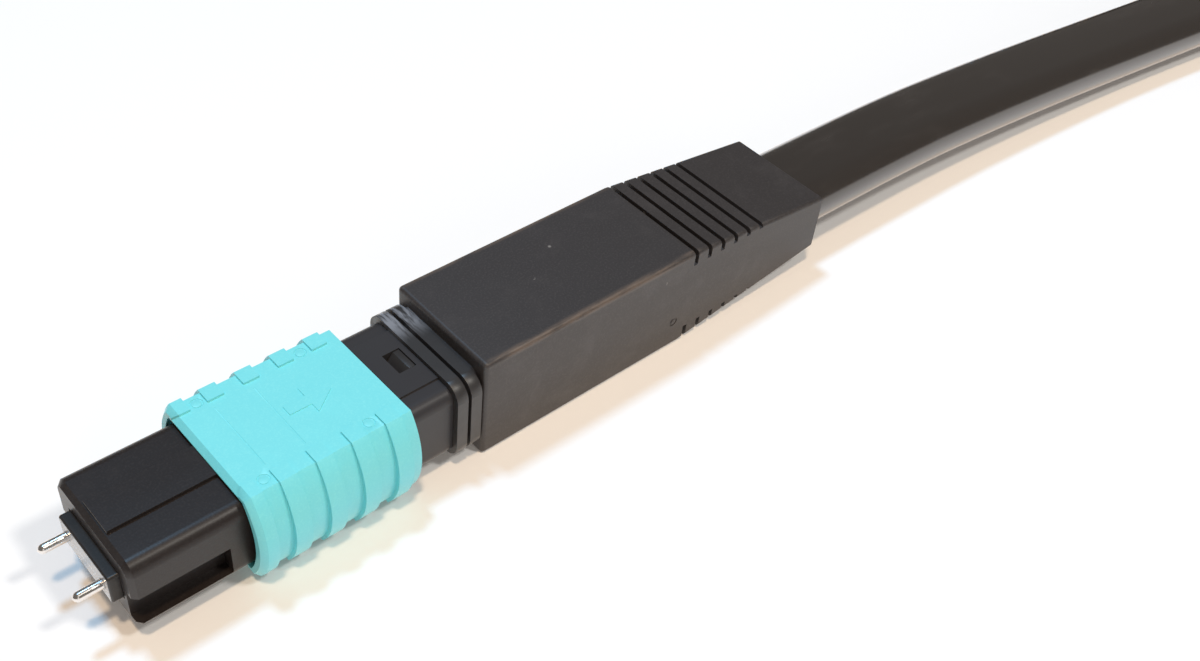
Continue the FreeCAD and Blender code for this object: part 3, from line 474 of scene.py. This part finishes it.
def breakEdges(node, width, body, slotName):
    mesh = bmesh.new()
    mesh.from_mesh(bpy.data.objects[node].data)
    bmesh.ops.remove_doubles(mesh, verts=mesh.verts, dist=edgeBreak["weld"] * mm)
    flatAngle = math.radians(edgeBreak["flatAngle"])
    bmesh.ops.dissolve_limit(mesh, angle_limit=flatAngle, verts=mesh.verts, edges=mesh.edges)
    if node == "boot":
        roundBoot(mesh)
    data = bpy.data.meshes.new(f"{node}_moulding")
    mesh.to_mesh(data)
    mesh.free()
    piece = addObject(f"{node}_moulding", data)
    dress(piece, nodeFinish[node])
    bevel = piece.modifiers.new("edge", "BEVEL")
    bevel.width = width * mm
    bevel.segments = edgeBreak["segments"]
    bevel.limit_method = "ANGLE"
    bevel.angle_limit = math.radians(edgeBreak["sharpAngle"])
    bevel.use_clamp_overlap = True
    normals = piece.modifiers.new("normals", "WEIGHTED_NORMAL")
    normals.keep_sharp = True
    smoothFaces(data)
    graph = bpy.context.evaluated_depsgraph_get()
    shape = bpy.data.meshes.new_from_object(piece.evaluated_get(graph))
    piece.modifiers.clear()
    piece.data = shape
    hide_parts(node)
    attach(piece, body)


for node, settings in softEdges.items():
    breakEdges(node, *settings)
print("mouldings softened")


# springs are copied as they are, smooth shaded: joint, and how far its end is pushed
springs = {
    "main_spring": ("ferrule_float", 0.9),
    "coupling_spring_left": ("sleeve_slide", 2.3),
    "coupling_spring_right": ("sleeve_slide", 2.3),
}


def makeSpring(node, joint, travel):
    data = bpy.data.objects[node].data.copy()
    data.name = f"{node}_wire"
    piece = addObject(f"{node}_wire", data)
    smoothFaces(data)
    dress(piece, nodeFinish[node])
    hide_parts(node)
    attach(piece, "connector")
    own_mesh(piece)


for node, settings in springs.items():
    makeSpring(node, *settings)
print("springs made")


# one smooth line from the anchor, past the twist and round the coil
cable = {
    "width": 8.1,
    "thick": 4.4,
    "corner": 2.0,
    "cornerSteps": 6,
    "exit": (33.0, -0.1, 4.6),
    "route": [
        (15.9, 0.0, 4.62),
        (44.0, 0.0, 4.62),
        (64.0, -0.9, 3.95),
        (88.0, -3.1, 3.25),
        (113.0, -6.7, 3.8),
        (137.0, -8.0, 4.85),
    ],
    "twistFrom": 0.083,  # metres along the line, and the length too
    "twistTo": 0.114,
    "coilRadius": 45.5,
    "coilPitch": 4.5,
    "coilTurns": 3.5,
    "pointsPerTurn": 16,
    "coilHeight": 4.85,
    "endRadius": 28.4,
    "endTurns": 0.3,
    "length": 0.95,
}


def coilCentre():
    last = Vector(cable["route"][-1])
    heading = (last - Vector(cable["route"][-2])).to_2d().normalized()
    left = Vector((-heading.y, heading.x, 0))
    centre = Vector((last.x, last.y, 0)) + left * cable["coilRadius"]
    return centre, math.atan2(-left.y, -left.x)


def coilPoints():
    centre, startAngle = coilCentre()
    count = round(cable["coilTurns"] * cable["pointsPerTurn"])
    cutInside = math.cos(math.pi / cable["pointsPerTurn"]) ** 0.5  # of the line against its points
    points = []
    for index in range(1, count + 1):
        turns = cable["coilTurns"] * index / count
        radius = cable["coilRadius"] - cable["coilPitch"] * turns
        ease = max(0.0, (turns - cable["coilTurns"] + cable["endTurns"]) / cable["endTurns"])
        radius += (cable["endRadius"] - radius) * ease
        radius /= cutInside
        angle = startAngle + 2 * math.pi * turns
        x = centre.x + radius * math.cos(angle)
        y = centre.y + radius * math.sin(angle)
        points.append((x, y, cable["coilHeight"]))
    return points


def smoothLine(points):
    curve = bpy.data.curves.new("cable_line", "CURVE")
    curve.dimensions = "3D"
    spline = curve.splines.new("NURBS")
    spline.points.add(len(points) - 1)
    for control, point in zip(spline.points, points):
        control.co = (*(Vector(point) * mm), 1.0)
    spline.order_u = 3
    spline.use_endpoint_u = True
    spline.resolution_u = 8
    guide = addObject("cable_line", curve)
    bpy.context.view_layer.update()
    line = bpy.data.meshes.new_from_object(guide)
    path = [vertex.co.copy() for vertex in line.vertices]
    bpy.data.objects.remove(guide)
    bpy.data.meshes.remove(line)
    return path


# radii at which the coiled line crosses a ray from the coil's centre
def turnRadii(path, centre, angle):
    ray = Vector((math.cos(angle), math.sin(angle)))
    radii = []
    for before, after in zip(path, path[1:]):
        here = (before - centre).to_2d()
        there = (after - centre).to_2d()
        sideHere = here.x * ray.y - here.y * ray.x
        sideThere = there.x * ray.y - there.y * ray.x
        if sideHere * sideThere <= 0 and here.dot(ray) > 0 and sideHere != sideThere:
            share = sideHere / (sideHere - sideThere)
            radii.append(here.lerp(there, share).length)
    return radii


strap = {
    "width": 6.0,
    "thick": 0.45,
    "corner": 1.3,
    "cornerSteps": 5,
    "gap": 0.12,
    "tailShare": 0.55,  # of the strap's span over the turns
    "tailNarrower": 0.3,
    "edge": 0.08,
    "sharpAngle": 50,
}


# the loop's inner line: places as radius and height, each with its outward direction
def strapLoop(inner, outer, bottom, top):
    corner = strap["corner"] * mm
    corners = (
        (outer - corner, top - corner, 0),
        (inner + corner, top - corner, 90),
        (inner + corner, bottom + corner, 180),
        (outer - corner, bottom + corner, 270),
    )
    loop = []
    for radius, level, start in corners:
        for step in range(strap["cornerSteps"] + 1):
            turn = math.radians(start + 90 * step / strap["cornerSteps"])
            outward = Vector((math.cos(turn), math.sin(turn)))
            loop.append((Vector((radius, level)) + outward * corner, outward))
    return loop


# the tail leaves the outer side and lies on the top
def strapTail(loop, inner, outer, top):
    firstCorner = loop[: strap["cornerSteps"] + 1]
    tail = [(place + outward * strap["thick"] * mm, outward) for place, outward in firstCorner]
    tailEnd = outer - strap["corner"] * mm - (outer - inner) * strap["tailShare"]
    tail.append((Vector((tailEnd, top + strap["thick"] * mm)), Vector((0, 1))))
    return tail


# a flat band along such a line, standing on the ray from the coil's centre
def addBand(mesh, line, width, centre, away, closed):
    sideways = Vector((-away.y, away.x, 0))
    rows = []
    for place, outward in line:
        row = []
        for lift, side in ((0, -1), (0, 1), (1, 1), (1, -1)):
            spot = place + outward * strap["thick"] * mm * lift
            point = centre + away * spot.x + sideways * side * width * mm / 2
            row.append(mesh.verts.new((point.x, point.y, spot.y)))
        rows.append(row)
    pairs = list(zip(rows, rows[1:] + rows[:1]))
    for first, second in pairs if closed else pairs[:-1]:
        for side in range(4):
            following = (side + 1) % 4
            mesh.faces.new((first[side], first[following], second[following], second[side]))
    if not closed:
        mesh.faces.new(rows[0])
        mesh.faces.new(reversed(rows[-1]))


# a woven strap round every turn, its tail lapped over the top
def makeTie(node, path, centre):
    low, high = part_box(node)
    middle = (Vector(low) + Vector(high)) / 2
    angle = math.atan2(middle.y - centre.y, middle.x - centre.x)
    radii = turnRadii(path, centre, angle)
    half = cable["thick"] / 2 * mm + strap["gap"] * mm
    inner = min(radii) - half
    outer = max(radii) + half
    height = cable["width"] / 2 * mm + strap["gap"] * mm
    top = cable["coilHeight"] * mm + height
    loop = strapLoop(inner, outer, cable["coilHeight"] * mm - height, top)
    tail = strapTail(loop, inner, outer, top)
    away = Vector((math.cos(angle), math.sin(angle), 0))
    mesh = bmesh.new()
    addBand(mesh, loop, strap["width"], centre, away, closed=True)
    addBand(mesh, tail, strap["width"] - strap["tailNarrower"], centre, away, closed=False)
    bmesh.ops.recalc_face_normals(mesh, faces=mesh.faces)
    data = bpy.data.meshes.new(f"{node}_strap")
    mesh.to_mesh(data)
    mesh.free()
    smoothFaces(data)
    data.set_sharp_from_angle(angle=math.radians(strap["sharpAngle"]))
    piece = addObject(f"{node}_strap", data)
    bevel = piece.modifiers.new("edge", "BEVEL")
    bevel.width = strap["edge"] * mm
    bevel.segments = 2
    dress(piece, "strap")
    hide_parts(node)
    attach(piece, "connector")
    return piece


def cableSection():
    halfWidth = (cable["width"] / 2 - cable["corner"]) * mm
    halfThick = (cable["thick"] / 2 - cable["corner"]) * mm
    points = []
    for sideX, sideY, start in ((1, 1, 0), (-1, 1, 90), (-1, -1, 180), (1, -1, 270)):
        for step in range(cable["cornerSteps"] + 1):
            angle = math.radians(start + 90 * step / cable["cornerSteps"])
            x = sideX * halfWidth + cable["corner"] * mm * math.cos(angle)
            y = sideY * halfThick + cable["corner"] * mm * math.sin(angle)
            points.append((x, y))
    return points


# the cable leaves the boot flat, and a smooth quarter turn stands it on edge for the coil
def rollAt(travelled, along):
    turn = (travelled - cable["twistFrom"]) / (cable["twistTo"] - cable["twistFrom"])
    turn = min(max(turn, 0.0), 1.0)
    return Matrix.Rotation(-math.pi / 2 * turn * turn * (3 - 2 * turn), 3, along)


# rings of points across the line, and how far along it each ring lies
def cableRings(mesh, path):
    section = cableSection()
    rings = []
    distances = []
    travelled = 0.0
    for index, point in enumerate(path):
        before = path[max(index - 1, 0)]
        after = path[min(index + 1, len(path) - 1)]
        travelled += (point - before).length
        distances.append(travelled)
        along = (after - before).normalized()
        across = Vector((0, 0, 1)).cross(along).normalized()
        up = along.cross(across)
        roll = rollAt(travelled, along)
        across = roll @ across
        up = roll @ up
        rings.append([mesh.verts.new(point + across * x + up * y) for x, y in section])
    return rings, distances


def skinCable(path):
    mesh = bmesh.new()
    uvLayer = mesh.loops.layers.uv.new("along")
    rings, distances = cableRings(mesh, path)
    count = len(rings[0])
    for index in range(len(rings) - 1):
        near, far = rings[index : index + 2]
        nearU, farU = distances[index : index + 2]
        for side in range(count):
            following = (side + 1) % count
            face = mesh.faces.new((near[side], near[following], far[following], far[side]))
            face.smooth = True
            vs = (side, side + 1, side + 1, side)
            for loop, u, v in zip(face.loops, (nearU, nearU, farU, farU), vs):
                loop[uvLayer].uv = (u, v / count)
    mesh.faces.new(list(reversed(rings[0])))
    mesh.faces.new(rings[-1])
    bmesh.ops.recalc_face_normals(mesh, faces=mesh.faces)
    data = bpy.data.meshes.new("flat_cable")
    mesh.to_mesh(data)
    mesh.free()
    print(f"cable line {distances[-1]:.3f} m long")
    return data


def makeCable():
    path = smoothLine(cable["route"] + coilPoints())
    piece = addObject("flat_cable", skinCable(path))
    dress(piece, "jacket")
    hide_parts("cable", "cable_coil")
    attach(piece, "connector")
    centre = coilCentre()[0] * mm
    ties = [makeTie(node, path, centre) for node in ("coil_tie_1", "coil_tie_2")]


makeCable()
print("cable made")


studio = {
    "floorSize": 3.0,
    "floorColor": (0.86, 0.86, 0.86),
    "floorMottle": (0.88, 0.87, 0.86),
    "mottleScale": 40.0,
    "mottleShare": 0.2,
    "floorGlow": 0.45,
    "floorGlowSeen": 0.20,  # the share of the glow that shows straight on
    "glowColor": (1.0, 0.88, 0.78),
    "worldColor": (1.0, 0.92, 0.84),
    "worldStrength": 0.19,
}

# place, size, power, colour
lamps = {
    "ceiling_light": ((-0.11, -0.13, 0.60), 0.06, 1.70, (1.0, 0.74, 0.50)),
    "side_light": ((0.165, -0.304, 0.54), 0.08, 1.28, (1.0, 0.96, 0.89)),
    "window_light": ((-0.01, 0.185, 0.61), 0.09, 2.05, (0.37, 0.68, 1.0)),
    "front_light": ((-0.25, -0.62, 0.26), 0.50, 0.7, (1.0, 0.95, 0.92)),
}


# a matt floor with a faint glow, which mirror-like pieces see in full
def floorPaint():
    paint = Paint("floor_white")
    grain = paint.noise(paint.place(), studio["mottleScale"], 3.0)
    tone = paint.mix(grain * studio["mottleShare"], studio["floorColor"], studio["floorMottle"])
    matt = paint.node("ShaderNodeBsdfDiffuse", inputs={"Color": tone})
    lit = {"Color": withAlpha(studio["glowColor"]), "Strength": studio["floorGlow"]}
    glow = paint.node("ShaderNodeEmission", inputs=lit)
    straight = paint.node("ShaderNodeLightPath")
    rays = straight.socket.node.outputs
    mirrored = Value(paint, rays["Is Glossy Ray"]).most(Value(paint, rays["Is Transmission Ray"]))
    seen = (straight * studio["floorGlowSeen"]).most(mirrored)
    unlit = {"Color": withAlpha((0.0, 0.0, 0.0)), "Strength": 0.0}
    dark = paint.node("ShaderNodeEmission", inputs=unlit)
    lift = paint.node("ShaderNodeMixShader", inputs={0: seen, 1: dark, 2: glow})
    both = paint.node("ShaderNodeAddShader", inputs={0: matt, 1: lift})
    paint.node("ShaderNodeOutputMaterial", inputs={"Surface": both}, output=None)
    return paint.material


def makeFloor():
    data = bpy.data.meshes.new("floor")
    half = studio["floorSize"] / 2
    corners = [(-half, -half, 0), (half, -half, 0), (half, half, 0), (-half, half, 0)]
    data.from_pydata(corners, [], [(0, 1, 2, 3)])
    floor = addObject("floor", data)
    data.materials.append(floorPaint())


# a round lamp aimed at the connector
def addLamp(name, place, size, power, color):
    light = bpy.data.lights.new(name, "AREA")
    light.shape = "DISK"
    light.size = size
    light.energy = power
    light.color = color
    lamp = addObject(name, light)
    lamp.location = place
    lamp.rotation_euler = (-Vector(place)).to_track_quat("-Z", "Y").to_euler()


def makeWorld():
    world = bpy.data.worlds.new("studio_world")
    bpy.context.scene.world = world
    world.use_nodes = True
    background = world.node_tree.nodes["Background"]
    background.inputs["Color"].default_value = withAlpha(studio["worldColor"])
    background.inputs["Strength"].default_value = studio["worldStrength"]


# the turn is in degrees about x, y and z
viewpoint = {
    "place": (-0.04634, -0.05541, 0.076095),
    "turn": (46.3651, -5.3232, -41.9432),
    "lens": 40.62,
    "sensor": 36.0,
    "clip": (0.005, 10.0),
}


def makeCamera():
    data = bpy.data.cameras.new("camera")
    data.lens = viewpoint["lens"]
    data.sensor_width = viewpoint["sensor"]
    data.clip_start, data.clip_end = viewpoint["clip"]
    turn = Euler([math.radians(angle) for angle in viewpoint["turn"]])
    camera = addObject("camera", data)
    camera.matrix_world = Matrix.LocRotScale(Vector(viewpoint["place"]), turn, None)
    bpy.context.scene.camera = camera


makeFloor()
for lampName, settings in lamps.items():
    addLamp(lampName, *settings)
makeWorld()
makeCamera()
bpy.context.scene.view_settings.view_transform = "Standard"
print("stage, lights and camera ready")
